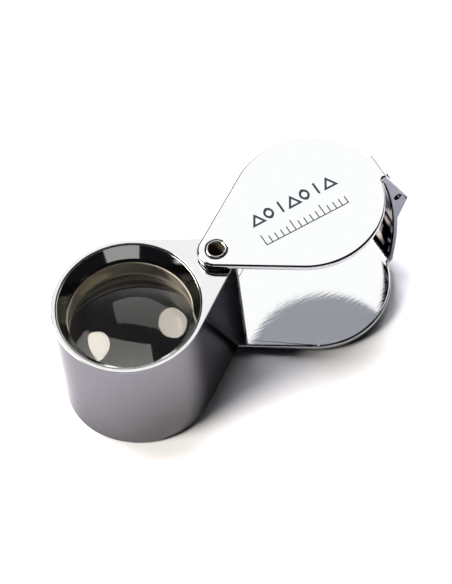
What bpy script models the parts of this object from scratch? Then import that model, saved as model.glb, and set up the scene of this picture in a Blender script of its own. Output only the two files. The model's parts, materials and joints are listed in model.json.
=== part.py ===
"""Folding pocket loupe: a lens barrel that swings out of a folded sheet-metal case.

The origin is on the case's underside, at the centre of the plates' round end, where the lens
axis passes when the loupe is shut. +X runs from the pivot to the folded end of the case, and
+Z out of its top plate. The barrel is drawn swung out of the case, about the pivot rivet.
"""

import math

import bmesh
import bpy

MM = 0.001

# Case: one sheet, folded twice, with two teardrop plates and a narrow bowed web between them
SHEET = 1.0 * MM
CASE_HEIGHT = 23.7 * MM
PLATE_RADIUS = 11.6 * MM
PLATE_PIVOT_RADIUS = 2.9 * MM
PIVOT_X = -15.7 * MM
WEB_INSIDE_X = 11.6 * MM
WEB_BOW = 1.3 * MM
WEB_HALF_WIDTH = 2.4 * MM
FOLD_RADIUS = 0.8 * MM

# Lanyard ear, bent outwards from the web's near edge
EAR_TOP_Z = CASE_HEIGHT - 0.8 * MM
EAR_TIP_X = 15.8 * MM
EAR_TIP_Z = 15.0 * MM
EAR_TIP_RADIUS = 1.25 * MM
EAR_FOOT_Z = 10.6 * MM
EAR_HOLE_X = 13.95 * MM
EAR_HOLE_Z = 16.6 * MM
EAR_HOLE_RADIUS = 0.65 * MM

# Hollow pivot rivet and its friction washers
RIVET_BORE_RADIUS = 1.2 * MM
RIVET_RADIUS = 1.4 * MM
RIVET_LIP_RADIUS = 1.56 * MM
RIVET_LIP_HEIGHT = 0.18 * MM
RIVET_HOLE_RADIUS = 1.5 * MM
COUNTERSINK_RADIUS = 1.75 * MM
COUNTERSINK_DEPTH = 0.3 * MM
WASHER_RADIUS = 2.5 * MM

# Lens barrel: a tall teardrop block, bored through, whose neck turns on the rivet
BARREL_RADIUS = 11.57 * MM
NECK_RADIUS = 3.3 * MM
NECK_END_OFFSET = 0.5 * MM
NECK_LENGTH = 15.46 * MM
BARREL_CLEARANCE = 0.6 * MM
SWING_OUT_ANGLE = math.radians(182.3)
RING_BORE_RADIUS = 10.9 * MM
RING_SEAT_DEPTH = 2.95 * MM
LENS_BORE_RADIUS = 10.15 * MM

# Threaded rings with a dished face, one at each end, and the tubes they press on the lens with
RING_RADIUS = 10.8 * MM
RING_DEPTH = 0.15 * MM
RING_LAND = 0.1 * MM
DISH_RADIUS = 9.45 * MM
DISH_DEPTH = 1.9 * MM
TUBE_RADIUS = 10.0 * MM
CLEAR_RADIUS = 9.5 * MM

# Optics: one cemented doublet, a thick crown element over a flint one
LENS_RADIUS = 10.0 * MM
LENS_SEAT_DEPTH = 6.3 * MM
FRONT_CURVE = 21.0 * MM
CEMENT_CURVE = 13.0 * MM
REAR_CURVE = 50.0 * MM
CROWN_THICKNESS = 8.3 * MM
FLINT_THICKNESS = 1.6 * MM

GAP = 0.05 * MM
WELD = 0.0001 * MM
ROUND_STEPS = 64
SMALL_STEPS = 32
CURVE_STEPS = 6
CUT_MARGIN = 1.0 * MM

MID_Z = CASE_HEIGHT / 2
BARREL_BOTTOM_Z = SHEET + BARREL_CLEARANCE
BARREL_TOP_Z = CASE_HEIGHT - BARREL_BOTTOM_Z


def clear_scene():
    for obj in list(bpy.data.objects):
        bpy.data.objects.remove(obj, do_unlink=True)


def make_collection(name):
    collection = bpy.data.collections.new(name)
    bpy.context.scene.collection.children.link(collection)
    return collection


def make_material(name, color, metallic, roughness, transmission=0.0):
    material = bpy.data.materials.new(name)
    material.use_nodes = True
    shader = material.node_tree.nodes["Principled BSDF"]
    shader.inputs["Base Color"].default_value = (*color, 1.0)
    shader.inputs["Metallic"].default_value = metallic
    shader.inputs["Roughness"].default_value = roughness
    shader.inputs["Transmission Weight"].default_value = transmission
    material.diffuse_color = (*color, 1.0)
    return material


def arc(center, radius, start, end, steps):
    """Points along an arc, both ends included, as (x, y) pairs."""
    points = []
    for i in range(steps + 1):
        angle = start + (end - start) * i / steps
        points.append((center[0] + radius * math.cos(angle), center[1] + radius * math.sin(angle)))
    return points


def tangent_angle(length, big_radius, small_radius):
    """Angle at which the two outer tangents leave both circles of a teardrop."""
    return math.acos((small_radius - big_radius) / length)


def bow(z):
    """How far the web stands out at a height, beyond its inside face at the folds."""
    half_chord = MID_Z - SHEET
    bow_radius = (half_chord ** 2 + WEB_BOW ** 2) / (2 * WEB_BOW)
    drop = bow_radius - math.sqrt(bow_radius ** 2 - (z - MID_Z) ** 2)
    return WEB_BOW - drop


def weld_mesh(mesh):
    bm = bmesh.new()
    bm.from_mesh(mesh)
    bmesh.ops.remove_doubles(bm, verts=bm.verts, dist=WELD)
    bmesh.ops.recalc_face_normals(bm, faces=bm.faces)
    bm.to_mesh(mesh)
    bm.free()


def plate_from_outline(name, outline, thickness, location, collection, upright=False):
    """A flat plate from a filled 2D outline. Upright, the outline's y becomes the height."""
    curve = bpy.data.curves.new(name, "CURVE")
    curve.dimensions = "2D"
    curve.fill_mode = "BOTH"
    curve.extrude = thickness / 2
    spline = curve.splines.new("POLY")
    spline.points.add(len(outline) - 1)
    for point, (x, y) in zip(spline.points, outline):
        point.co = (x, y, 0.0, 1.0)
    spline.use_cyclic_u = True
    drawing = bpy.data.objects.new(name + "_drawing", curve)
    drawing.location = location
    drawing.rotation_euler.x = math.pi / 2 if upright else 0.0
    collection.objects.link(drawing)
    bpy.context.view_layer.update()
    evaluated = drawing.evaluated_get(bpy.context.evaluated_depsgraph_get())
    mesh = bpy.data.meshes.new_from_object(evaluated)
    weld_mesh(mesh)
    plate = bpy.data.objects.new(name, mesh)
    plate.matrix_world = drawing.matrix_world
    collection.objects.link(plate)
    bpy.data.objects.remove(drawing, do_unlink=True)
    return plate


def turned(name, profile, steps, collection, closed=False):
    """A round piece about its own Z axis, from (radius, z) points that run down its outside."""
    mesh = bpy.data.meshes.new(name)
    vertices = [(radius, 0.0, z) for radius, z in profile]
    edges = [(i, i + 1) for i in range(len(profile) - 1)]
    if closed:
        edges.append((len(profile) - 1, 0))
    mesh.from_pydata(vertices, edges, [])
    piece = bpy.data.objects.new(name, mesh)
    screw = piece.modifiers.new("Turn", "SCREW")
    screw.axis = "Z"
    screw.angle = 2 * math.pi
    screw.steps = steps
    screw.render_steps = steps
    screw.use_merge_vertices = True
    screw.merge_threshold = WELD
    screw.use_smooth_shade = False
    collection.objects.link(piece)
    return piece


def hide_cutter(cutter):
    cutter.hide_render = True
    cutter.display_type = "WIRE"


def combine(target, tool, operation):
    modifier = target.modifiers.new(operation.title(), "BOOLEAN")
    modifier.operation = operation
    modifier.solver = "EXACT"
    modifier.object = tool
    hide_cutter(tool)


def finish(piece, material):
    piece.data.materials.clear()
    piece.data.materials.append(material)


def case_plan_outline():
    """The plates seen from above: a teardrop with the web's strip standing out of its round end."""
    lean = tangent_angle(-PIVOT_X, PLATE_RADIUS, PLATE_PIVOT_RADIUS)
    strip_angle = math.asin(WEB_HALF_WIDTH / PLATE_RADIUS)
    strip_end_x = EAR_TIP_X + CUT_MARGIN
    outline = arc((0.0, 0.0), PLATE_RADIUS, -lean, -strip_angle, 24)
    outline += [(strip_end_x, -WEB_HALF_WIDTH), (strip_end_x, WEB_HALF_WIDTH)]
    outline += arc((0.0, 0.0), PLATE_RADIUS, strip_angle, lean, 24)
    outline += arc((PIVOT_X, 0.0), PLATE_PIVOT_RADIUS, lean, 2 * math.pi - lean, 12)
    return outline


def case_side_outline():
    """The folded sheet seen from the side: top plate, bowed web and bottom plate, as (x, z)."""
    open_end_x = PIVOT_X - PLATE_PIVOT_RADIUS - CUT_MARGIN
    outside_x = WEB_INSIDE_X + SHEET
    fold_x = outside_x - FOLD_RADIUS
    web_steps = 12
    outline = [(open_end_x, CASE_HEIGHT)]
    outline += arc((fold_x, CASE_HEIGHT - FOLD_RADIUS), FOLD_RADIUS, math.pi / 2, 0.0, 4)
    for i in range(1, web_steps):
        z = CASE_HEIGHT - FOLD_RADIUS - (CASE_HEIGHT - 2 * FOLD_RADIUS) * i / web_steps
        outline.append((outside_x + max(bow(z), 0.0), z))
    outline += arc((fold_x, FOLD_RADIUS), FOLD_RADIUS, 0.0, -math.pi / 2, 4)
    outline += [(open_end_x, 0.0), (open_end_x, SHEET)]
    for i in range(web_steps + 1):
        z = SHEET + (CASE_HEIGHT - 2 * SHEET) * i / web_steps
        outline.append((WEB_INSIDE_X + bow(z), z))
    outline.append((open_end_x, CASE_HEIGHT - SHEET))
    return outline


def ear_outline():
    """The triangular ear with its rounded tip, as (x, z), rooted along the middle of the web."""
    root_steps = 6
    foot_x = WEB_INSIDE_X + bow(EAR_FOOT_Z) + SHEET
    tip = (EAR_TIP_X - EAR_TIP_RADIUS, EAR_TIP_Z)
    upper_angle = math.radians(21)
    lower_angle = math.radians(-28)
    outline = []
    for i in range(root_steps + 1):
        z = EAR_FOOT_Z + (EAR_TOP_Z - EAR_FOOT_Z) * i / root_steps
        outline.append((WEB_INSIDE_X + bow(z) + SHEET / 2, z))
    outline.append((WEB_INSIDE_X + SHEET, EAR_TOP_Z))
    outline += arc(tip, EAR_TIP_RADIUS, upper_angle, lower_angle, 6)
    outline.append((foot_x - SHEET * 0.1, EAR_FOOT_Z))
    return outline


def countersink_profile():
    """Cutter down through both plates at the pivot, wider where it meets each outer face."""
    flare = COUNTERSINK_RADIUS - RIVET_HOLE_RADIUS
    margin_flare = flare * CUT_MARGIN / COUNTERSINK_DEPTH
    return [
        (0.0, CASE_HEIGHT + CUT_MARGIN),
        (COUNTERSINK_RADIUS + margin_flare, CASE_HEIGHT + CUT_MARGIN),
        (RIVET_HOLE_RADIUS, CASE_HEIGHT - COUNTERSINK_DEPTH),
        (RIVET_HOLE_RADIUS, COUNTERSINK_DEPTH),
        (COUNTERSINK_RADIUS + margin_flare, -CUT_MARGIN),
        (0.0, -CUT_MARGIN),
    ]


def make_case_shell(parts, cutters, material):
    side_width = 4 * PLATE_RADIUS
    shell = plate_from_outline("case_shell", case_side_outline(), side_width, (0, 0, 0), parts, True)

    ear_far_y = SHEET - WEB_HALF_WIDTH
    ear_near_y = -PLATE_RADIUS
    ear_middle = (0, (ear_far_y + ear_near_y) / 2, 0)
    ear_width = ear_far_y - ear_near_y
    ear = plate_from_outline("ear_blank", ear_outline(), ear_width, ear_middle, cutters, True)
    combine(shell, ear, "UNION")

    plan_height = CASE_HEIGHT + 2 * CUT_MARGIN
    plan = plate_from_outline("plan_blank", case_plan_outline(), plan_height, (0, 0, MID_Z), cutters)
    combine(shell, plan, "INTERSECT")

    pivot_hole = turned("case_pivot_cutter", countersink_profile(), SMALL_STEPS, cutters)
    pivot_hole.location.x = PIVOT_X
    combine(shell, pivot_hole, "DIFFERENCE")

    hole_length = 4 * SHEET
    hole_profile = [
        (0.0, hole_length / 2),
        (EAR_HOLE_RADIUS, hole_length / 2),
        (EAR_HOLE_RADIUS, -hole_length / 2),
        (0.0, -hole_length / 2),
    ]
    ear_hole = turned("ear_hole_cutter", hole_profile, 24, cutters)
    ear_hole.location = (EAR_HOLE_X, -WEB_HALF_WIDTH, EAR_HOLE_Z)
    ear_hole.rotation_euler.x = math.pi / 2
    combine(shell, ear_hole, "DIFFERENCE")
    finish(shell, material)


def make_pivot_rivet(parts, material):
    top = CASE_HEIGHT
    shoulder = 0.25 * MM
    upper = [
        (RIVET_BORE_RADIUS, top + 0.08 * MM),
        (RIVET_BORE_RADIUS + 0.08 * MM, top + RIVET_LIP_HEIGHT),
        (RIVET_LIP_RADIUS - 0.1 * MM, top + RIVET_LIP_HEIGHT - 0.02 * MM),
        (RIVET_LIP_RADIUS, top + 0.04 * MM),
        (RIVET_RADIUS, top - shoulder),
    ]
    lower = [(radius, CASE_HEIGHT - z) for radius, z in reversed(upper)]
    rivet = turned("pivot_rivet", upper + lower, SMALL_STEPS, parts, closed=True)
    rivet.location.x = PIVOT_X
    finish(rivet, material)


def make_washer(name, middle_z, parts, material):
    half = BARREL_CLEARANCE / 2 - GAP
    profile = [
        (RIVET_HOLE_RADIUS, middle_z + half),
        (WASHER_RADIUS, middle_z + half),
        (WASHER_RADIUS, middle_z - half),
        (RIVET_HOLE_RADIUS, middle_z - half),
    ]
    washer = turned(name, profile, SMALL_STEPS, parts, closed=True)
    washer.location.x = PIVOT_X
    finish(washer, material)


def make_swing_axis(parts):
    """The pivot of the swinging barrel. Its +X points along the neck to the lens axis."""
    axis = bpy.data.objects.new("lens_swing_axis", None)
    axis.location.x = PIVOT_X
    axis.rotation_euler.z = SWING_OUT_ANGLE
    axis.empty_display_size = BARREL_RADIUS
    parts.objects.link(axis)
    return axis


def ride_on_neck(piece, swing_axis):
    """Centres a round optical piece on the lens axis, at the end of the neck."""
    piece.parent = swing_axis
    piece.location.x = NECK_LENGTH


def make_barrel(parts, cutters, swing_axis, material):
    lean = tangent_angle(NECK_LENGTH - NECK_END_OFFSET, BARREL_RADIUS, NECK_RADIUS)
    outline = arc((NECK_LENGTH, 0.0), BARREL_RADIUS, -lean, lean, ROUND_STEPS)
    outline += arc((NECK_END_OFFSET, 0.0), NECK_RADIUS, lean, 2 * math.pi - lean, 12)
    height = BARREL_TOP_Z - BARREL_BOTTOM_Z
    barrel = plate_from_outline("barrel_housing", outline, height, (0, 0, MID_Z), parts)
    barrel.parent = swing_axis

    bore_profile = [
        (0.0, BARREL_TOP_Z + CUT_MARGIN),
        (RING_BORE_RADIUS, BARREL_TOP_Z + CUT_MARGIN),
        (RING_BORE_RADIUS, BARREL_TOP_Z - RING_SEAT_DEPTH),
        (LENS_BORE_RADIUS, BARREL_TOP_Z - RING_SEAT_DEPTH),
        (LENS_BORE_RADIUS, BARREL_BOTTOM_Z + RING_SEAT_DEPTH),
        (RING_BORE_RADIUS, BARREL_BOTTOM_Z + RING_SEAT_DEPTH),
        (RING_BORE_RADIUS, BARREL_BOTTOM_Z - CUT_MARGIN),
        (0.0, BARREL_BOTTOM_Z - CUT_MARGIN),
    ]
    bore = turned("barrel_bore_cutter", bore_profile, ROUND_STEPS, cutters)
    ride_on_neck(bore, swing_axis)
    combine(barrel, bore, "DIFFERENCE")

    pivot_profile = [
        (0.0, CASE_HEIGHT),
        (RIVET_HOLE_RADIUS, CASE_HEIGHT),
        (RIVET_HOLE_RADIUS, 0.0),
        (0.0, 0.0),
    ]
    pivot_hole = turned("neck_pivot_cutter", pivot_profile, SMALL_STEPS, cutters)
    pivot_hole.parent = swing_axis
    combine(barrel, pivot_hole, "DIFFERENCE")
    finish(barrel, material)


def sag(curve, radius):
    """How far a spherical surface falls away from its crown at a radius."""
    return curve - math.sqrt(curve ** 2 - radius ** 2)


def dome(curve, crown_z, way):
    """Points of a lens surface from the axis out to the rim, where it falls (-1) or rises (+1)."""
    points = []
    for i in range(CURVE_STEPS + 1):
        radius = LENS_RADIUS * i / CURVE_STEPS
        points.append((radius, crown_z + way * sag(curve, radius)))
    return points


def mirrored(profile):
    """The same turned profile, upside down about the middle of the barrel."""
    return [(radius, CASE_HEIGHT - z) for radius, z in reversed(profile)]


def tube_profile(top, bottom):
    return [
        (CLEAR_RADIUS, top),
        (TUBE_RADIUS, top),
        (TUBE_RADIUS, bottom),
        (CLEAR_RADIUS, bottom),
    ]


def make_optics(parts, swing_axis, ring_chrome, tube_brass, crown_glass, flint_glass):
    ring_top = BARREL_TOP_Z - RING_DEPTH
    ring_bottom = BARREL_TOP_Z - RING_SEAT_DEPTH + GAP
    ring = [
        (DISH_RADIUS, BARREL_TOP_Z - DISH_DEPTH),
        (RING_RADIUS - RING_LAND, ring_top),
        (RING_RADIUS, ring_top),
        (RING_RADIUS, ring_bottom),
        (DISH_RADIUS, ring_bottom),
    ]

    seat_z = BARREL_TOP_Z - LENS_SEAT_DEPTH
    front_crown_z = seat_z - GAP + sag(FRONT_CURVE, CLEAR_RADIUS)
    cement_z = front_crown_z - CROWN_THICKNESS
    rear_crown_z = cement_z - GAP - FLINT_THICKNESS
    rear_seat_z = rear_crown_z + sag(REAR_CURVE, CLEAR_RADIUS) - GAP
    tube_end_z = ring_bottom - GAP
    crown = dome(FRONT_CURVE, front_crown_z, -1) + dome(CEMENT_CURVE, cement_z, 1)[::-1]
    flint = dome(CEMENT_CURVE, cement_z - GAP, 1) + dome(REAR_CURVE, rear_crown_z, 1)[::-1]

    pieces = [
        ("front_retaining_ring", ring, True, ring_chrome),
        ("front_spacer_tube", tube_profile(tube_end_z, seat_z), True, tube_brass),
        ("crown_lens", crown, False, crown_glass),
        ("flint_lens", flint, False, flint_glass),
        ("rear_spacer_tube", tube_profile(rear_seat_z, CASE_HEIGHT - tube_end_z), True, tube_brass),
        ("rear_retaining_ring", mirrored(ring), True, ring_chrome),
    ]
    for name, profile, closed, material in pieces:
        piece = turned(name, profile, ROUND_STEPS, parts, closed)
        ride_on_neck(piece, swing_axis)
        finish(piece, material)


def main():
    clear_scene()
    parts = make_collection("folding_loupe")
    cutters = make_collection("cutters")
    case_chrome = make_material("case_chrome", (0.78, 0.79, 0.80), 1.0, 0.06)
    barrel_chrome = make_material("barrel_chrome", (0.62, 0.62, 0.64), 1.0, 0.2)
    rivet_chrome = make_material("rivet_chrome", (0.75, 0.75, 0.74), 1.0, 0.12)
    washer_steel = make_material("washer_steel", (0.35, 0.35, 0.36), 1.0, 0.35)
    ring_chrome = make_material("ring_chrome", (0.5, 0.5, 0.5), 1.0, 0.08)
    tube_brass = make_material("tube_brass", (0.3, 0.25, 0.15), 1.0, 0.4)
    crown_glass = make_material("crown_glass", (0.95, 0.96, 0.93), 0.0, 0.02, 1.0)
    flint_glass = make_material("flint_glass", (0.95, 0.93, 0.86), 0.0, 0.02, 1.0)

    make_case_shell(parts, cutters, case_chrome)
    make_pivot_rivet(parts, rivet_chrome)
    make_washer("bottom_friction_washer", SHEET + BARREL_CLEARANCE / 2, parts, washer_steel)
    make_washer("top_friction_washer", BARREL_TOP_Z + BARREL_CLEARANCE / 2, parts, washer_steel)
    swing_axis = make_swing_axis(parts)
    make_barrel(parts, cutters, swing_axis, barrel_chrome)
    make_optics(parts, swing_axis, ring_chrome, tube_brass, crown_glass, flint_glass)


main()
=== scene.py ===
"""Looks of the folding pocket loupe: polished chrome, glass and a plain white studio table."""

import json
import math

import bmesh
import bpy
from mathutils import Matrix, Vector


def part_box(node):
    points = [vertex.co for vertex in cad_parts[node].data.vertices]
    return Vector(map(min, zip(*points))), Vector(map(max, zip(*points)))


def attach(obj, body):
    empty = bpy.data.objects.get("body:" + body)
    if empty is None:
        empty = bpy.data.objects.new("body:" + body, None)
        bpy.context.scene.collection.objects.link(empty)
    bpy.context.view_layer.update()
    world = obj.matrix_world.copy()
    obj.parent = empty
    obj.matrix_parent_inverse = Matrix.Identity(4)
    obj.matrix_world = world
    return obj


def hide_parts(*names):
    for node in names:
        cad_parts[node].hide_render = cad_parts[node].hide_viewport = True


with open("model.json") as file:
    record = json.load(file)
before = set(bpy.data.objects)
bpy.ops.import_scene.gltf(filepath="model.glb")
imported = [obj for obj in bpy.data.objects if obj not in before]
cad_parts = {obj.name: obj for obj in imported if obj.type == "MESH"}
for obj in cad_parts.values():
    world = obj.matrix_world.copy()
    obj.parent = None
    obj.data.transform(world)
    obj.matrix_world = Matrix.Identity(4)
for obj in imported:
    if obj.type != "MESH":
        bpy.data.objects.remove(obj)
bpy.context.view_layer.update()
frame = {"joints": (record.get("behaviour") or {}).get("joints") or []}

MM = 0.001

# ---------------------------------------------------------------- sizes, from the frame
CASE_LO, CASE_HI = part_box("case_shell")
BARREL_LO, BARREL_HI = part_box("barrel_housing")
RING_LO, RING_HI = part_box("front_retaining_ring")
TUBE_LO, TUBE_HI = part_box("front_spacer_tube")
REAR_TUBE_LO, REAR_TUBE_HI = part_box("rear_spacer_tube")
CROWN_LO, CROWN_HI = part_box("crown_lens")
FLINT_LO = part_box("flint_lens")[0]
RIVET_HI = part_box("pivot_rivet")[1]

PIVOT = Vector(frame["joints"][0]["pos_m"])
LENS_AXIS = (RING_LO + RING_HI) / 2
TOP_Z = CASE_HI.z
MID_Z = TOP_Z / 2
PLATE_RADIUS = CASE_HI.y
PLATE_PIVOT_RADIUS = PIVOT.x - CASE_LO.x
BARREL_TOP_Z = BARREL_HI.z
BARREL_BOTTOM_Z = BARREL_LO.z
RING_RADIUS = (RING_HI.x - RING_LO.x) / 2
LENS_RADIUS = (CROWN_HI.x - CROWN_LO.x) / 2
TUBE_RADIUS = (TUBE_HI.x - TUBE_LO.x) / 2

# The case's sheet
SHEET = 1.0 * MM
WEB_INSIDE_X = 11.6 * MM
WEB_BOW = 1.3 * MM
WEB_HALF_WIDTH = 2.4 * MM
FOLD_RADIUS = 0.8 * MM
FOLD_INSIDE_RADIUS = 0.6 * MM
EDGE_ROUND = 0.36 * MM
HOLE_EDGE_SHARE = 0.25
EAR_TIP_X = 15.8 * MM
EAR_TIP_Z = 15.0 * MM
EAR_TIP_RADIUS = 1.25 * MM
EAR_FOOT_Z = 10.6 * MM
EAR_TOP_Z = TOP_Z - FOLD_RADIUS
EAR_HOLE = (13.95 * MM, 16.6 * MM)
EAR_HOLE_RADIUS = 0.65 * MM
RIVET_HOLE_RADIUS = 1.5 * MM
COUNTERSINK_RADIUS = 1.75 * MM
COUNTERSINK_DEPTH = 0.3 * MM

# The rivet and its washers
RIVET_BORE_RADIUS = 1.2 * MM
RIVET_RADIUS = 1.4 * MM
RIVET_LIP_RADIUS = 1.56 * MM
RIVET_LIP_HEIGHT = RIVET_HI.z - TOP_Z
RIVET_SHOULDER = 0.25 * MM
RIVET_LIP_STEPS = 14

# The barrel
BARREL_RADIUS = 11.57 * MM
NECK_RADIUS = 3.3 * MM
NECK_END_OFFSET = 0.5 * MM
BARREL_EDGE_ROUND = 0.1 * MM
RING_BORE_RADIUS = 10.9 * MM
RING_SEAT_DEPTH = 2.95 * MM
LENS_BORE_RADIUS = 10.15 * MM
DISH_RADIUS = 9.45 * MM
DISH_DEPTH = 1.9 * MM
RING_DEPTH = BARREL_TOP_Z - RING_HI.z
CLEAR_RADIUS = 9.5 * MM
TUBE_BEAD = 0.36 * MM
TUBE_BEAD_HEIGHT = 0.14 * MM
GROOVE_PITCH = 0.28 * MM
GROOVE_DEPTH = 0.05 * MM

# The lens: the front surface, the cemented one and the rear one
FRONT_CURVE = 21.0 * MM
CEMENT_CURVE = 13.0 * MM
REAR_CURVE = 50.0 * MM
DOME_STEPS = 40

# The mark: a row of seven symbols over a scale of fourteen millimetres
MARK_HEIGHT = 0.012 * MM
SYMBOL_COUNT = 7
SYMBOL_PITCH = 2.05 * MM
SYMBOL_START_X = -7.95 * MM
SYMBOL_Y = 1.35 * MM
SYMBOL_HALF_HEIGHT = 1.05 * MM
SYMBOL_LINE = 0.34 * MM
SCALE_LENGTH_MM = 14
SCALE_START_X = -8.9 * MM
SCALE_Y = -3.4 * MM
SCALE_LINE = 0.17 * MM
SHORT_TICK = 1.2 * MM
LONG_TICK = 1.9 * MM

TABLE_SIZE = 6.0
TABLE_GAP = 0.03 * MM
BACKDROP_RADIUS = 2.9

CUT_MARGIN = 1.0 * MM
WELD = 0.0001 * MM
FLAT_ANGLE = math.radians(0.05)
SHARP_ANGLE = math.radians(30.0)
ROUND_STEPS = 256
SMALL_STEPS = 96


# ---------------------------------------------------------------- mesh tools
def arc(center, radius, start, end, steps):
    """Points along an arc, both ends included, as (x, y) pairs."""
    points = []
    for i in range(steps + 1):
        angle = start + (end - start) * i / steps
        points.append((center[0] + radius * math.cos(angle), center[1] + radius * math.sin(angle)))
    return points


def tangent_angle(length, big_radius, small_radius):
    """Angle at which the two outer tangents leave both circles of a teardrop."""
    return math.acos((small_radius - big_radius) / length)


def new_object(name, mesh):
    obj = bpy.data.objects.new(name, mesh)
    bpy.context.scene.collection.objects.link(obj)
    return obj


def prism(name, outline, low, high, upright=False):
    """A closed prism on an outline. Upright, the outline is (x, z) and low and high are along Y."""
    bm = bmesh.new()
    ends = []
    for level in (low, high):
        points = [(a, level, b) if upright else (a, b, level) for a, b in outline]
        ends.append([bm.verts.new(point) for point in points])
        bm.faces.new(ends[-1])
    first, last = ends
    for i in range(len(outline)):
        k = (i + 1) % len(outline)
        bm.faces.new((first[i], first[k], last[k], last[i]))
    bmesh.ops.remove_doubles(bm, verts=bm.verts, dist=WELD)
    bmesh.ops.recalc_face_normals(bm, faces=bm.faces)
    mesh = bpy.data.meshes.new(name)
    bm.to_mesh(mesh)
    bm.free()
    return new_object(name, mesh)


def turned(name, profile, steps, center, closed=True):
    """A round piece about a vertical axis, from (radius, z) points that run down its outside."""
    bm = bmesh.new()
    rings = []
    for i in range(steps):
        angle = 2 * math.pi * i / steps
        turn = (math.cos(angle), math.sin(angle))
        points = [(center[0] + r * turn[0], center[1] + r * turn[1], z) for r, z in profile]
        rings.append([bm.verts.new(point) for point in points])
    count = len(profile)
    last = count if closed else count - 1
    for i in range(steps):
        here = rings[i]
        there = rings[(i + 1) % steps]
        for j in range(last):
            k = (j + 1) % count
            bm.faces.new((here[j], there[j], there[k], here[k]))
    bmesh.ops.remove_doubles(bm, verts=bm.verts, dist=WELD)
    bmesh.ops.dissolve_degenerate(bm, edges=bm.edges, dist=WELD)
    bmesh.ops.recalc_face_normals(bm, faces=bm.faces)
    mesh = bpy.data.meshes.new(name)
    bm.to_mesh(mesh)
    bm.free()
    return new_object(name, mesh)


def settle(obj):
    """Applies an object's modifiers to its mesh."""
    bpy.context.view_layer.update()
    graph = bpy.context.evaluated_depsgraph_get()
    evaluated = obj.evaluated_get(graph)
    mesh = bpy.data.meshes.new_from_object(
        evaluated, preserve_all_data_layers=True, depsgraph=graph)
    obj.modifiers.clear()
    obj.data = mesh


def combine(target, tool, operation):
    """Applies a Boolean to the target's mesh and removes the tool."""
    modifier = target.modifiers.new(operation, "BOOLEAN")
    modifier.operation = operation
    modifier.solver = "EXACT"
    modifier.object = tool
    settle(target)
    bpy.data.objects.remove(tool, do_unlink=True)


def round_edges(obj, width, share=lambda point: 1.0):
    """Rounds every sharp edge by a share of the width, and leaves the flat faces' shading flat."""
    bm = bmesh.new()
    bm.from_mesh(obj.data)
    bmesh.ops.remove_doubles(bm, verts=bm.verts, dist=WELD)
    bmesh.ops.dissolve_limit(bm, angle_limit=FLAT_ANGLE, verts=bm.verts, edges=bm.edges)
    weight = bm.edges.layers.float.new("bevel_weight_edge")
    for edge in bm.edges:
        if edge.calc_face_angle(0.0) > SHARP_ANGLE:
            edge[weight] = share((edge.verts[0].co + edge.verts[1].co) / 2)
    bm.to_mesh(obj.data)
    bm.free()
    obj.data.shade_smooth()
    modifier = obj.modifiers.new("Round", "BEVEL")
    modifier.width = width
    modifier.segments = 3
    modifier.limit_method = "WEIGHT"
    modifier.harden_normals = True
    modifier.use_clamp_overlap = False
    modifier.miter_outer = "MITER_ARC"
    settle(obj)


def smooth(obj, angle=SHARP_ANGLE):
    obj.data.shade_smooth()
    obj.data.set_sharp_from_angle(angle=angle)
    return obj


def paint(obj, *materials):
    obj.data.materials.clear()
    for material in materials:
        obj.data.materials.append(material)


def choose_faces(obj, slot_index, test):
    """Gives a material slot to the faces whose centre and normal pass a test."""
    for polygon in obj.data.polygons:
        if test(polygon.center, polygon.normal):
            polygon.material_index = slot_index


# ---------------------------------------------------------------- material tools
def node(tree, kind, **values):
    made = tree.nodes.new(kind)
    for key, value in values.items():
        if key in made.inputs:
            made.inputs[key].default_value = value
        else:
            setattr(made, key, value)
    return made


def join(tree, source, target):
    tree.links.new(source, target)


def new_material(name, color, metallic, roughness):
    material = bpy.data.materials.new(name)
    material.use_nodes = True
    shader = material.node_tree.nodes["Principled BSDF"]
    shader.inputs["Base Color"].default_value = (*color, 1.0)
    shader.inputs["Metallic"].default_value = metallic
    shader.inputs["Roughness"].default_value = roughness
    material.diffuse_color = (*color, 1.0)
    return material, material.node_tree, shader


def streak_field(tree, per_mm_along, per_mm_across, detail=3.0, rotation=0.0):
    """Noise drawn out along X, for the marks that a polishing belt leaves."""
    place = node(tree, "ShaderNodeTexCoord")
    scale = node(tree, "ShaderNodeMapping")
    scale.inputs["Rotation"].default_value = (0.0, 0.0, rotation)
    along, across = per_mm_along / MM, per_mm_across / MM
    scale.inputs["Scale"].default_value = (along, across, across)
    noise = node(tree, "ShaderNodeTexNoise", Scale=1.0, Detail=detail, Roughness=0.6)
    join(tree, place.outputs["Object"], scale.inputs["Vector"])
    join(tree, scale.outputs["Vector"], noise.inputs["Vector"])
    return noise.outputs["Fac"]


def turned_field(tree, center, per_mm):
    """Noise that runs in rings about a vertical axis, for the marks of a lathe tool."""
    place = node(tree, "ShaderNodeTexCoord")
    shift = node(tree, "ShaderNodeVectorMath", operation="SUBTRACT")
    shift.inputs[1].default_value = (center[0], center[1], 0.0)
    split = node(tree, "ShaderNodeSeparateXYZ")
    flat = node(tree, "ShaderNodeCombineXYZ")
    length = node(tree, "ShaderNodeVectorMath", operation="LENGTH")
    ring = node(tree, "ShaderNodeCombineXYZ")
    scale = node(tree, "ShaderNodeVectorMath", operation="SCALE")
    scale.inputs["Scale"].default_value = per_mm / MM
    noise = node(tree, "ShaderNodeTexNoise", Scale=1.0, Detail=4.0, Roughness=0.65)
    join(tree, place.outputs["Object"], shift.inputs[0])
    join(tree, shift.outputs["Vector"], split.inputs["Vector"])
    join(tree, split.outputs["X"], flat.inputs["X"])
    join(tree, split.outputs["Y"], flat.inputs["Y"])
    join(tree, flat.outputs["Vector"], length.inputs[0])
    join(tree, length.outputs["Value"], ring.inputs["X"])
    join(tree, split.outputs["Z"], ring.inputs["Y"])
    join(tree, ring.outputs["Vector"], scale.inputs[0])
    join(tree, scale.outputs["Vector"], noise.inputs["Vector"])
    return noise.outputs["Fac"]


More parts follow.
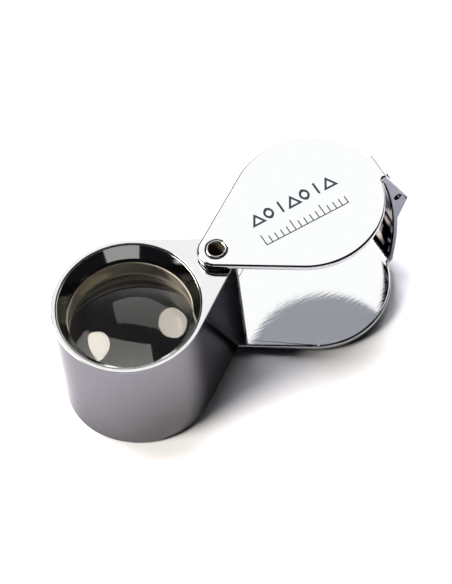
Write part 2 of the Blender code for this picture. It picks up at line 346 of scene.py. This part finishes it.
def spread(tree, source, low, high):
    """Maps the middle of a 0 to 1 field, where most of its values are, to a range."""
    mapped = node(tree, "ShaderNodeMapRange")
    mapped.inputs["From Min"].default_value = 0.3
    mapped.inputs["From Max"].default_value = 0.7
    mapped.inputs["To Min"].default_value = low
    mapped.inputs["To Max"].default_value = high
    join(tree, source, mapped.inputs["Value"])
    return mapped.outputs["Result"]


def tint(tree, source, first, second, shader):
    """Base colour between two colours, by a field."""
    mix = node(tree, "ShaderNodeMix", data_type="RGBA")
    color_sockets = [s for s in mix.inputs if s.type == "RGBA"]
    color_sockets[0].default_value = (*first, 1.0)
    color_sockets[1].default_value = (*second, 1.0)
    result = [s for s in mix.outputs if s.type == "RGBA"][0]
    join(tree, source, mix.inputs["Factor"])
    join(tree, result, shader.inputs["Base Color"])


def bump(tree, source, depth, shader):
    """Depth is the height, in metres, between the field's lowest and highest."""
    made = node(tree, "ShaderNodeBump", Strength=1.0, Distance=depth)
    join(tree, source, made.inputs["Height"])
    join(tree, made.outputs["Normal"], shader.inputs["Normal"])


def polished_chrome(
        name, low, high, depth, rough=(0.03, 0.09), along=0.3, across=3.0,
        glancing=(1.0, 1.0, 1.0)):
    """Bright plating over belt-polished metal: faint straight marks, and hazier along them.

    Along and across are marks per millimetre. A darker glancing tint dulls it at low angles.
    """
    material, tree, shader = new_material(name, high, 1.0, rough[0])
    shader.inputs["Specular Tint"].default_value = (*glancing, 1.0)
    streaks = streak_field(tree, along, across)
    tint(tree, streaks, low, high, shader)
    join(tree, spread(tree, streaks, *rough), shader.inputs["Roughness"])
    bump(tree, streaks, depth, shader)
    return material


def patchy_shaded_chrome(name, low, high, depth, per_mm):
    """Plating on an uneven inner face, with painted shade: far darker than the outer plating, in
    near-black patches, with a dark glancing tint.
    """
    material, tree, shader = new_material(name, high, 1.0, 0.08)
    shader.inputs["Specular Tint"].default_value = (0.3, 0.3, 0.31, 1.0)
    patches = streak_field(tree, per_mm, per_mm, 1.0)
    tint(tree, spread(tree, patches, 0.0, 1.0), low, high, shader)
    bump(tree, patches, depth, shader)
    return material


def dull_blotchy(name, low, high):
    """Blotchy between two colours, and without a shine."""
    material, tree, shader = new_material(name, high, 0.0, 0.7)
    blotches = streak_field(tree, 2.5, 3.5)
    tint(tree, blotches, low, high, shader)
    bump(tree, blotches, 0.01 * MM, shader)
    return material


def etched_ink(name, color):
    material, _, shader = new_material(name, color, 0.0, 0.45)
    shader.inputs["Specular IOR Level"].default_value = 0.15
    return material


def turned_metal(name, low, high, depth, rough, per_mm):
    """Metal with the fine rings of a lathe tool about the lens axis."""
    material, tree, shader = new_material(name, high, 1.0, rough[0])
    rings = turned_field(tree, LENS_AXIS, per_mm)
    tint(tree, rings, low, high, shader)
    join(tree, spread(tree, rings, *rough), shader.inputs["Roughness"])
    bump(tree, rings, depth, shader)
    return material


def lens_glass(name, color, ior, reflection):
    """Clear coated glass with a trace of dust and haze. Bare glass has a reflection of 1."""
    material, tree, shader = new_material(name, color, 0.0, 0.0)
    shader.inputs["Transmission Weight"].default_value = 0.996
    shader.inputs["IOR"].default_value = ior
    shader.inputs["Specular Tint"].default_value = (reflection, reflection, reflection, 1.0)
    haze = streak_field(tree, 0.15, 0.4, 2.0, 0.6)
    join(tree, spread(tree, haze, 0.0, 0.012), shader.inputs["Roughness"])
    return material


# ---------------------------------------------------------------- the case
def bow(z):
    """How far the web stands out at a height, beyond its inside face at the folds."""
    half_chord = MID_Z - SHEET
    bow_radius = (half_chord ** 2 + WEB_BOW ** 2) / (2 * WEB_BOW)
    drop = bow_radius - math.sqrt(bow_radius ** 2 - (z - MID_Z) ** 2)
    return WEB_BOW - drop


def case_plan():
    """The plates from above: a teardrop with the web's strip standing out of its round end."""
    lean = tangent_angle(-PIVOT.x, PLATE_RADIUS, PLATE_PIVOT_RADIUS)
    strip_angle = math.asin(WEB_HALF_WIDTH / PLATE_RADIUS)
    strip_end_x = EAR_TIP_X + CUT_MARGIN
    outline = arc((0.0, 0.0), PLATE_RADIUS, -lean, -strip_angle, 96)
    outline += [(strip_end_x, -WEB_HALF_WIDTH), (strip_end_x, WEB_HALF_WIDTH)]
    outline += arc((0.0, 0.0), PLATE_RADIUS, strip_angle, lean, 96)
    outline += arc((PIVOT.x, 0.0), PLATE_PIVOT_RADIUS, lean, 2 * math.pi - lean, 48)
    return outline


def case_side():
    """The folded sheet from the side: top plate, bowed web and bottom plate, as (x, z)."""
    open_end_x = PIVOT.x - PLATE_PIVOT_RADIUS - CUT_MARGIN
    outside_x = WEB_INSIDE_X + SHEET
    fold_x = outside_x - FOLD_RADIUS
    inner_x = WEB_INSIDE_X - FOLD_INSIDE_RADIUS
    inner_r = FOLD_INSIDE_RADIUS
    web_steps = 48
    outline = [(open_end_x, TOP_Z)]
    outline += arc((fold_x, TOP_Z - FOLD_RADIUS), FOLD_RADIUS, math.pi / 2, 0.0, 10)
    for i in range(1, web_steps):
        z = TOP_Z - FOLD_RADIUS - (TOP_Z - 2 * FOLD_RADIUS) * i / web_steps
        outline.append((outside_x + max(bow(z), 0.0), z))
    outline += arc((fold_x, FOLD_RADIUS), FOLD_RADIUS, 0.0, -math.pi / 2, 10)
    outline += [(open_end_x, 0.0), (open_end_x, SHEET)]
    outline += arc((inner_x, SHEET + inner_r), inner_r, -math.pi / 2, 0.0, 5)
    for i in range(2, web_steps - 1):
        z = SHEET + (TOP_Z - 2 * SHEET) * i / web_steps
        outline.append((WEB_INSIDE_X + bow(z), z))
    outline += arc((inner_x, TOP_Z - SHEET - inner_r), inner_r, 0.0, math.pi / 2, 5)
    outline.append((open_end_x, TOP_Z - SHEET))
    return outline


def ear_side():
    """The triangular ear with its rounded tip, as (x, z), rooted along the middle of the web."""
    root_steps = 12
    foot_x = WEB_INSIDE_X + bow(EAR_FOOT_Z) + SHEET
    tip = (EAR_TIP_X - EAR_TIP_RADIUS, EAR_TIP_Z)
    outline = []
    for i in range(root_steps + 1):
        z = EAR_FOOT_Z + (EAR_TOP_Z - EAR_FOOT_Z) * i / root_steps
        outline.append((WEB_INSIDE_X + bow(z) + SHEET / 2, z))
    outline.append((WEB_INSIDE_X + SHEET, EAR_TOP_Z))
    outline += arc(tip, EAR_TIP_RADIUS, math.radians(21), math.radians(-28), 16)
    outline.append((foot_x - SHEET * 0.1, EAR_FOOT_Z))
    return outline


def countersink_cutter():
    flare = COUNTERSINK_RADIUS - RIVET_HOLE_RADIUS
    margin_flare = flare * CUT_MARGIN / COUNTERSINK_DEPTH
    profile = [
        (0.0, TOP_Z + CUT_MARGIN),
        (COUNTERSINK_RADIUS + margin_flare, TOP_Z + CUT_MARGIN),
        (RIVET_HOLE_RADIUS, TOP_Z - COUNTERSINK_DEPTH),
        (RIVET_HOLE_RADIUS, COUNTERSINK_DEPTH),
        (COUNTERSINK_RADIUS + margin_flare, -CUT_MARGIN),
        (0.0, -CUT_MARGIN),
    ]
    return turned("countersink_cutter", profile, SMALL_STEPS, (PIVOT.x, 0.0), closed=False)


def make_case(chrome, near_faces_painted_shade, inside):
    case = prism("folded_case", case_side(), -2 * PLATE_RADIUS, 2 * PLATE_RADIUS, True)
    ear = prism("ear_blank", ear_side(), -PLATE_RADIUS, SHEET - WEB_HALF_WIDTH, True)
    combine(case, ear, "UNION")
    plan = prism("plan_blank", case_plan(), -CUT_MARGIN, TOP_Z + CUT_MARGIN)
    combine(case, plan, "INTERSECT")
    combine(case, countersink_cutter(), "DIFFERENCE")
    hole_outline = arc(EAR_HOLE, EAR_HOLE_RADIUS, 0.0, 2 * math.pi, SMALL_STEPS)[:-1]
    hole = prism("ear_hole_cutter", hole_outline, -2 * PLATE_RADIUS, 0.0, True)
    combine(case, hole, "DIFFERENCE")

    def finer_at_holes(point):
        from_ear_hole = math.hypot(point.x - EAR_HOLE[0], point.z - EAR_HOLE[1])
        from_rivet = math.hypot(point.x - PIVOT.x, point.y)
        if from_ear_hole < 1.1 * EAR_HOLE_RADIUS or from_rivet < 1.1 * COUNTERSINK_RADIUS:
            return HOLE_EDGE_SHARE
        return 1.0

    round_edges(case, EDGE_ROUND, finer_at_holes)
    paint(case, chrome, near_faces_painted_shade, inside)
    # Painted shade: the web's cut edge and the ear's face, both turned to -Y, get the darker, bluer
    # copy of the plating.
    choose_faces(case, 1, lambda center, normal: normal.y < -0.9 and center.x > WEB_INSIDE_X)
    # Painted shade: the web's inner face gets the near-black patchy plating.
    choose_faces(case, 2, lambda center, normal: normal.x < -0.6 and center.x > WEB_INSIDE_X)
    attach(case, "case")
    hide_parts("case_shell")


def make_rivet(plated, dark_bore):
    middle = (RIVET_BORE_RADIUS + RIVET_LIP_RADIUS) / 2
    half = (RIVET_LIP_RADIUS - RIVET_BORE_RADIUS) / 2
    upper = []
    for i in range(RIVET_LIP_STEPS + 1):
        angle = math.pi - math.pi * i / RIVET_LIP_STEPS
        height = RIVET_LIP_HEIGHT * math.sin(angle)
        upper.append((middle + half * math.cos(angle), TOP_Z + height))
    upper.append((RIVET_RADIUS, TOP_Z - RIVET_SHOULDER))
    lower = [(radius, TOP_Z - z) for radius, z in reversed(upper)]
    rivet = smooth(turned("rolled_rivet", upper + lower, SMALL_STEPS, (PIVOT.x, 0.0)))
    paint(rivet, plated, dark_bore)
    inner = RIVET_BORE_RADIUS * 1.02
    choose_faces(rivet, 1, lambda c, n: math.hypot(c.x - PIVOT.x, c.y) < inner)
    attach(rivet, "case")
    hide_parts("pivot_rivet")


def make_washer(node_name, name, steel):
    low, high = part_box(node_name)
    outer = (high.x - low.x) / 2
    chamfer = 0.08 * MM
    dish = 0.1 * MM
    profile = [
        (RIVET_HOLE_RADIUS, high.z - dish),
        (outer - chamfer, high.z),
        (outer, high.z - chamfer),
        (outer, low.z + dish + chamfer),
        (outer - chamfer, low.z + dish),
        (RIVET_HOLE_RADIUS, low.z),
    ]
    washer = smooth(turned(name, profile, SMALL_STEPS, (PIVOT.x, 0.0)))
    paint(washer, steel)
    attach(washer, "case")
    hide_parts(node_name)


# ---------------------------------------------------------------- the barrel
def barrel_plan():
    """The barrel from above: a teardrop from the lens axis to the pivot."""
    reach = Vector((PIVOT.x - LENS_AXIS.x, PIVOT.y - LENS_AXIS.y, 0.0))
    along = reach.normalized()
    turn = math.atan2(along.y, along.x)
    neck = (PIVOT.x - along.x * NECK_END_OFFSET, PIVOT.y - along.y * NECK_END_OFFSET)
    length = reach.length - NECK_END_OFFSET
    lean = tangent_angle(length, BARREL_RADIUS, NECK_RADIUS)
    body = (LENS_AXIS.x, LENS_AXIS.y)
    outline = arc(body, BARREL_RADIUS, turn + math.pi - lean, turn + math.pi + lean, ROUND_STEPS)
    outline += arc(neck, NECK_RADIUS, turn + lean - math.pi, turn + math.pi - lean, 64)
    return outline


def make_barrel(chrome, side, inside):
    barrel = prism("lens_barrel", barrel_plan(), BARREL_BOTTOM_Z, BARREL_TOP_Z)
    bore_profile = [
        (0.0, BARREL_TOP_Z + CUT_MARGIN),
        (RING_BORE_RADIUS, BARREL_TOP_Z + CUT_MARGIN),
        (RING_BORE_RADIUS, BARREL_TOP_Z - RING_SEAT_DEPTH),
        (LENS_BORE_RADIUS, BARREL_TOP_Z - RING_SEAT_DEPTH),
        (LENS_BORE_RADIUS, BARREL_BOTTOM_Z + RING_SEAT_DEPTH),
        (RING_BORE_RADIUS, BARREL_BOTTOM_Z + RING_SEAT_DEPTH),
        (RING_BORE_RADIUS, BARREL_BOTTOM_Z - CUT_MARGIN),
        (0.0, BARREL_BOTTOM_Z - CUT_MARGIN),
    ]
    bore = turned("bore_cutter", bore_profile, ROUND_STEPS, LENS_AXIS, closed=False)
    combine(barrel, bore, "DIFFERENCE")
    pivot_profile = [
        (0.0, TOP_Z),
        (RIVET_HOLE_RADIUS, TOP_Z),
        (RIVET_HOLE_RADIUS, 0.0),
        (0.0, 0.0),
    ]
    pivot_hole = turned("neck_cutter", pivot_profile, SMALL_STEPS, PIVOT, closed=False)
    combine(barrel, pivot_hole, "DIFFERENCE")
    round_edges(barrel, BARREL_EDGE_ROUND)
    paint(barrel, chrome, side, inside)
    bore_wall = RING_BORE_RADIUS + 0.02 * MM
    edge = EDGE_ROUND

    def is_bore(center, normal):
        reach = math.hypot(center.x - LENS_AXIS.x, center.y - LENS_AXIS.y)
        return reach < bore_wall and BARREL_BOTTOM_Z + edge < center.z < BARREL_TOP_Z - edge

    # Painted shade: the upright outside faces get the darker copy of the plating.
    choose_faces(barrel, 1, lambda center, normal: abs(normal.z) < 0.02)
    choose_faces(barrel, 2, is_bore)
    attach(barrel, "lens_barrel")
    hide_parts("barrel_housing")


def ring_profile():
    """Front ring: a dished face from its outer land down to the clear aperture."""
    soft = 0.05 * MM
    top = BARREL_TOP_Z - RING_DEPTH
    bottom = RING_LO.z
    return [
        (DISH_RADIUS, BARREL_TOP_Z - DISH_DEPTH),
        (RING_RADIUS - 0.12 * MM, top - soft * 0.3),
        (RING_RADIUS - 0.08 * MM, top),
        (RING_RADIUS - soft, top),
        (RING_RADIUS, top - soft),
        (RING_RADIUS, bottom),
        (DISH_RADIUS + soft, bottom),
        (DISH_RADIUS, bottom + soft),
    ]


def tube_profile(top, bottom):
    """A spacer tube with the shallow grooves that a lathe tool leaves in its bore."""
    bead = CLEAR_RADIUS - TUBE_BEAD_HEIGHT
    grooves = [(CLEAR_RADIUS, bottom), (bead, bottom + TUBE_BEAD / 3)]
    low = bottom + TUBE_BEAD
    high = top - TUBE_BEAD
    steps = 4 * int((high - low) / GROOVE_PITCH)
    for i in range(steps + 1):
        z = low + (high - low) * i / steps
        wave = 1 - math.cos(math.pi * i / 2)
        grooves.append((CLEAR_RADIUS + GROOVE_DEPTH * 0.5 * wave, z))
    grooves += [(bead, top - TUBE_BEAD / 3), (CLEAR_RADIUS, top)]
    return grooves + [(TUBE_RADIUS, top), (TUBE_RADIUS, bottom)]


def upside_down(profile):
    return [(radius, TOP_Z - z) for radius, z in reversed(profile)]


def make_barrel_ring(name, profile, node_name, material, bead_highlight=None):
    """A ring on the lens axis. With a second material, the faces near both ends, where its bore has
    beads, get a paler copy of the brass: a painted highlight.
    """
    ring = smooth(turned(name, profile, ROUND_STEPS, LENS_AXIS), math.radians(25.0))
    paint(ring, material)
    if bead_highlight:
        ring.data.materials.append(bead_highlight)
        low = min(v.co.z for v in ring.data.vertices) + TUBE_BEAD
        high = max(v.co.z for v in ring.data.vertices) - TUBE_BEAD
        choose_faces(ring, 1, lambda center, normal: center.z < low or center.z > high)
    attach(ring, "lens_barrel")
    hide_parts(node_name)


def sag(curve, radius):
    return curve - math.sqrt(curve ** 2 - radius ** 2)


def dome(curve, crown_z, way):
    """A lens surface, from its middle to its rim. It falls away below with way -1, above with 1."""
    points = []
    for i in range(DOME_STEPS + 1):
        radius = LENS_RADIUS * i / DOME_STEPS
        points.append((radius, crown_z + way * sag(curve, radius)))
    return points


def make_lens(name, profile, node_name, glass, cement, joint_side):
    lens = turned(name, profile, ROUND_STEPS, LENS_AXIS, closed=False)
    smooth(lens)
    paint(lens, glass, cement)
    choose_faces(lens, 1, joint_side)
    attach(lens, "lens_barrel")
    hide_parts(node_name)


def make_optics(ring_chrome, tube_brass, tube_bead_highlight, crown_glass, flint_glass, cement):
    ring = ring_profile()
    rear_ring = upside_down(ring)
    make_barrel_ring(
        "dished_ring_front", ring, "front_retaining_ring", ring_chrome)
    make_barrel_ring(
        "dished_ring_rear", rear_ring, "rear_retaining_ring", ring_chrome)
    tube = tube_profile(TUBE_HI.z, TUBE_LO.z)
    rear_tube = tube_profile(REAR_TUBE_HI.z, REAR_TUBE_LO.z)
    make_barrel_ring(
        "grooved_tube_front", tube, "front_spacer_tube", tube_brass, tube_bead_highlight)
    make_barrel_ring(
        "grooved_tube_rear", rear_tube, "rear_spacer_tube", tube_brass, tube_bead_highlight)

    front_z = CROWN_HI.z
    cement_z = CROWN_LO.z
    flint_z = cement_z - 0.01 * MM
    rear_z = FLINT_LO.z
    crown = dome(FRONT_CURVE, front_z, -1) + dome(CEMENT_CURVE, cement_z, 1)[::-1]
    flint = dome(CEMENT_CURVE, flint_z, 1) + dome(REAR_CURVE, rear_z, 1)[::-1]

    def near_cement(center, normal):
        reach = math.hypot(center.x - LENS_AXIS.x, center.y - LENS_AXIS.y)
        level = cement_z + sag(CEMENT_CURVE, min(reach, LENS_RADIUS))
        return abs(center.z - level) < 0.05 * MM and abs(normal.z) > 0.3

    make_lens("crown_element", crown, "crown_lens", crown_glass, cement, near_cement)
    make_lens("flint_element", flint, "flint_lens", flint_glass, cement, near_cement)


# ---------------------------------------------------------------- the mark on the top plate
def merged(name, parts):
    """Joins separate closed pieces into one object."""
    bm = bmesh.new()
    for part in parts:
        bm.from_mesh(part.data)
        bpy.data.objects.remove(part, do_unlink=True)
    mesh = bpy.data.meshes.new(name)
    bm.to_mesh(mesh)
    bm.free()
    return new_object(name, mesh)


def lens_section(center, half_height, half_width, steps):
    """Outline of a lens seen from its edge: two equal arcs that meet in points."""
    radius = (half_height ** 2 + half_width ** 2) / (2 * half_width)
    reach = math.asin(half_height / radius)
    left = (center[0] + radius - half_width, center[1])
    right = (center[0] - radius + half_width, center[1])
    outline = arc(right, radius, -reach, reach, steps)[:-1]
    outline += arc(left, radius, math.pi - reach, math.pi + reach, steps)[:-1]
    return outline


def triangle(center, reach):
    """Outline of an equal-sided triangle, as six points: corners and the middles of the sides."""
    outline = []
    for i in range(6):
        angle = math.pi / 2 + i * math.pi / 3
        distance = reach if i % 2 == 0 else reach / 2
        x = center[0] + distance * math.cos(angle)
        y = center[1] + distance * math.sin(angle)
        outline.append((x, y))
    return outline


def band(outer, inner, low, high):
    """A closed line of even width, as two halves, between two outlines of the same length."""
    half = len(outer) // 2
    first = outer[:half + 1] + inner[:half + 1][::-1]
    second = outer[half:] + outer[:1] + inner[:1] + inner[half:][::-1]
    return [prism("mark_half", first, low, high), prism("mark_half", second, low, high)]


def mark_bar(center, size, low, high):
    left, right = center[0] - size[0] / 2, center[0] + size[0] / 2
    near, far = center[1] - size[1] / 2, center[1] + size[1] / 2
    outline = [(left, near), (right, near), (right, far), (left, far)]
    return prism("mark_bar", outline, low, high)


def make_mark(ink):
    """A generic mark: a row of prism and lens sections and slits over a millimetre scale."""
    low = TOP_Z - MARK_HEIGHT
    high = TOP_Z + MARK_HEIGHT
    tall = SYMBOL_HALF_HEIGHT
    line = SYMBOL_LINE
    symbols = []
    for i in range(SYMBOL_COUNT):
        center = (SYMBOL_START_X + i * SYMBOL_PITCH, SYMBOL_Y)
        if i % 3 == 0:
            middle = (center[0], SYMBOL_Y - tall / 3)
            outer = triangle(middle, tall * 4 / 3)
            inner = triangle(middle, tall * 4 / 3 - 2 * line)
            symbols += band(outer, inner, low, high)
        elif i % 3 == 1:
            outer = lens_section(center, tall, tall * 0.75, 24)
            inner = lens_section(center, tall - line * 1.5, tall * 0.75 - line, 24)
            symbols += band(outer, inner, low, high)
        else:
            symbols.append(mark_bar(center, (line, 2 * tall), low, high))
    fine = SCALE_LINE
    length = SCALE_LENGTH_MM * MM
    base = (SCALE_START_X + length / 2, SCALE_Y)
    ticks = [mark_bar(base, (length + fine, fine), low, high)]
    for i in range(SCALE_LENGTH_MM + 1):
        height = LONG_TICK if i % 5 == 0 else SHORT_TICK
        middle = (SCALE_START_X + i * MM, SCALE_Y + (height + fine) / 2)
        ticks.append(mark_bar(middle, (fine, height), low, high))
    for mark in (merged("mark_symbols", symbols), merged("mark_scale", ticks)):
        paint(mark, ink)
        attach(mark, "case")


# ---------------------------------------------------------------- the studio
def make_floor(material):
    """A white table top. The loupe leans on the barrel's far edge and the plate's pivot end."""
    slope = math.atan2(BARREL_BOTTOM_Z, CASE_LO.x - BARREL_LO.x)
    bm = bmesh.new()
    bmesh.ops.create_grid(bm, x_segments=2, y_segments=2, size=TABLE_SIZE / 2)
    mesh = bpy.data.meshes.new("table_top")
    bm.to_mesh(mesh)
    bm.free()
    floor = new_object("table_top", mesh)
    floor.rotation_euler.y = slope
    floor.location = (CASE_LO.x, 0.0, -TABLE_GAP)
    paint(floor, material)


def toward(azimuth, elevation):
    """Direction in degrees. Azimuth 0 is the -Y side, and 90 is the +X side."""
    a, e = math.radians(azimuth), math.radians(elevation)
    return Vector((math.sin(a) * math.cos(e), -math.cos(a) * math.cos(e), math.sin(e)))


def make_light(name, facing, center, half_size, radiance, color, seen_by):
    """A flat light in a plane a metre away that faces the object from an azimuth and elevation.

    Its centre is moved across that plane, in metres. Given one half size it is round.
    One seen by "mirror" shows in the polished surfaces, and one seen by "table" lights the table.
    """
    light = bpy.data.lights.new(name, "AREA")
    light.shape = "RECTANGLE" if len(half_size) == 2 else "DISK"
    light.size = 2 * half_size[0]
    area = math.pi * half_size[0] ** 2
    if len(half_size) == 2:
        light.size_y = 2 * half_size[1]
        area = light.size * light.size_y
    light.energy = radiance * area * math.pi
    light.color = color
    obj = bpy.data.objects.new(name, light)
    direction = toward(*facing)
    right = Vector((0, 0, 1)).cross(direction).normalized()
    up = direction.cross(right)
    obj.rotation_mode = "QUATERNION"
    obj.rotation_quaternion = Matrix((right, up, direction)).transposed().to_quaternion()
    obj.location = direction + right * center[0] + up * center[1]
    obj.visible_camera = False
    if seen_by == "table":
        obj.visible_glossy = False
        obj.visible_transmission = False
    if seen_by == "mirror":
        obj.visible_diffuse = False
    bpy.context.scene.collection.objects.link(obj)


def make_lights():
    warm = (1.0, 0.93, 0.82)
    plain = (1.0, 0.985, 0.95)
    make_light("lamp_left", (-137.0, 53.0), (0.0, 0.0), (0.22,), 33.0, warm, "mirror")
    make_light(
        "softbox_behind", (135.5, 17.5), (-0.07, 0.5), (0.69, 0.58), 2.72, plain, "mirror")
    make_light(
        "window_front", (-26.0, 14.0), (0.0, 0.0), (0.4, 0.18), 0.9, (1.0, 0.98, 0.96), "mirror")
    make_light(
        "table_left", (-95.0, 45.0), (0.0, 0.0), (0.2126,), 33.0, (1.0, 0.95, 0.88), "table")
    make_light(
        "table_above", (180.0, 65.0), (0.0, 0.0), (0.364,), 16.0, (0.93, 0.91, 1.0), "table")
    make_light(
        "table_right", (130.0, 45.0), (0.0, 0.0), (0.45,), 2.2, (0.97, 0.97, 1.0), "table")


def make_world():
    """A dim, slightly blue room."""
    world = bpy.data.worlds.new("studio_room")
    world.use_nodes = True
    tree = world.node_tree
    background = tree.nodes["Background"]
    background.inputs["Color"].default_value = (0.75, 0.85, 1.0, 1.0)
    background.inputs["Strength"].default_value = 0.02
    bpy.context.scene.world = world


def make_backdrop():
    """A pale backdrop that only the camera sees, so that low views have a plain background."""
    bm = bmesh.new()
    bmesh.ops.create_uvsphere(bm, u_segments=48, v_segments=24, radius=BACKDROP_RADIUS)
    bmesh.ops.reverse_faces(bm, faces=bm.faces)
    mesh = bpy.data.meshes.new("backdrop")
    bm.to_mesh(mesh)
    bm.free()
    backdrop = smooth(new_object("backdrop", mesh), math.radians(80.0))
    material = bpy.data.materials.new("backdrop_paper")
    material.use_nodes = True
    tree = material.node_tree
    tree.nodes.clear()
    glow = node(tree, "ShaderNodeEmission", Strength=1.0)
    glow.inputs["Color"].default_value = (0.93, 0.93, 0.94, 1.0)
    out = node(tree, "ShaderNodeOutputMaterial")
    join(tree, glow.outputs["Emission"], out.inputs["Surface"])
    paint(backdrop, material)
    backdrop.visible_diffuse = False
    backdrop.visible_glossy = False
    backdrop.visible_transmission = False
    backdrop.visible_shadow = False
    backdrop.visible_volume_scatter = False


def make_camera():
    azimuth, elevation, roll = -22.964, 57.669, math.radians(-8.018)
    target = Vector((-14.769, 0.719, 10.0)) * MM
    distance = 579.77 * MM
    back = toward(azimuth, elevation)
    forward = -back
    right = forward.cross(Vector((0, 0, 1))).normalized()
    up = right.cross(forward)
    turned_right = right * math.cos(roll) + up * math.sin(roll)
    turned_up = up * math.cos(roll) - right * math.sin(roll)
    camera = bpy.data.cameras.new("photo_camera")
    camera.sensor_width = 36.0
    camera.lens = 236.3
    camera.clip_start = 0.05
    camera.clip_end = 20.0
    obj = bpy.data.objects.new("photo_camera", camera)
    rotation = Matrix((turned_right, turned_up, back)).transposed().to_4x4()
    obj.matrix_world = Matrix.Translation(target + back * distance) @ rotation
    bpy.context.scene.collection.objects.link(obj)
    bpy.context.scene.camera = obj


# ---------------------------------------------------------------- everything together
def make_loupe():
    case_chrome = polished_chrome(
        "case_chrome", (0.34, 0.35, 0.365), (0.37, 0.38, 0.39), 0.006 * MM)
    barrel_chrome = polished_chrome(
        "barrel_chrome", (0.31, 0.315, 0.33), (0.34, 0.34, 0.35), 0.0006 * MM,
        (0.05, 0.1), 0.4, 1.5)
    # Painted shade: a copy of the barrel's plating at about half its brightness, with a darker
    # glancing tint, for the barrel's upright sides.
    barrel_sides_painted_shade = polished_chrome(
        "barrel_sides_painted_shade", (0.157, 0.154, 0.168), (0.185, 0.179, 0.189), 0.0006 * MM,
        (0.08, 0.14), 0.4, 1.5, (0.6, 0.59, 0.6))
    # Painted shade: a darker, bluer copy of the case plating for the faces turned to -Y at the web,
    # the web's cut edge and the ear's broad face.
    case_near_faces_painted_shade = polished_chrome(
        "case_near_faces_painted_shade", (0.13, 0.135, 0.16), (0.19, 0.195, 0.22), 0.002 * MM,
        (0.15, 0.25), 0.5, 1.0)
    # Painted shade: the web's inner face, far darker than the case plating, in near-black patches.
    web_inside = patchy_shaded_chrome(
        "web_inside", (0.002, 0.002, 0.004), (0.12, 0.118, 0.11), 0.02 * MM, 0.42)
    rivet_chrome = polished_chrome(
        "rivet_chrome", (0.36, 0.36, 0.36), (0.42, 0.42, 0.41), 0.001 * MM,
        (0.08, 0.16), 2.0, 2.0)
    # The rivet's bore: dark brown and blotchy, without a shine.
    rivet_bore = dull_blotchy("rivet_bore", (0.05, 0.038, 0.026), (0.1, 0.08, 0.06))
    washer_steel = turned_metal(
        "washer_steel", (0.2, 0.2, 0.2), (0.3, 0.3, 0.31), 0.003 * MM, (0.3, 0.45), 6.0)
    ring_chrome = turned_metal(
        "ring_chrome", (0.3, 0.3, 0.3), (0.34, 0.34, 0.34), 0.001 * MM, (0.05, 0.1), 9.0)
    bore_black = turned_metal(
        "bore_black", (0.03, 0.028, 0.025), (0.07, 0.065, 0.06), 0.004 * MM, (0.3, 0.5), 8.0)
    tube_brass = turned_metal(
        "tube_brass", (0.24, 0.23, 0.2), (0.62, 0.6, 0.53), 0.006 * MM, (0.25, 0.45), 9.0)
    # Painted highlight: a paler copy of the brass for the beads at both ends of the tube bores.
    tube_bead_highlight = turned_metal(
        "tube_bead_highlight", (0.6, 0.57, 0.47), (0.85, 0.81, 0.7), 0.002 * MM, (0.55, 0.65), 5.0)
    crown_glass = lens_glass("crown_glass", (0.97, 0.97, 0.96), 1.52, 0.48)
    flint_glass = lens_glass("flint_glass", (0.97, 0.96, 0.93), 1.52, 1.0)
    cement = lens_glass("lens_cement", (0.99, 0.985, 0.97), 1.0, 1.0)
    ink = etched_ink("etched_mark", (0.01, 0.012, 0.02))

    make_case(case_chrome, case_near_faces_painted_shade, web_inside)
    make_rivet(rivet_chrome, rivet_bore)
    make_washer("bottom_friction_washer", "spring_washer_bottom", washer_steel)
    make_washer("top_friction_washer", "spring_washer_top", washer_steel)
    make_barrel(barrel_chrome, barrel_sides_painted_shade, bore_black)
    make_optics(ring_chrome, tube_brass, tube_bead_highlight, crown_glass, flint_glass, cement)
    make_mark(ink)


def make_studio():
    paper = new_material("table_white", (0.84, 0.84, 0.85), 0.0, 0.7)[0]
    make_floor(paper)
    make_backdrop()
    make_world()
    make_lights()
    make_camera()
    scene = bpy.context.scene
    scene.view_settings.view_transform = "Standard"
    scene.cycles.caustics_refractive = False
    scene.cycles.caustics_reflective = False


make_loupe()
make_studio()
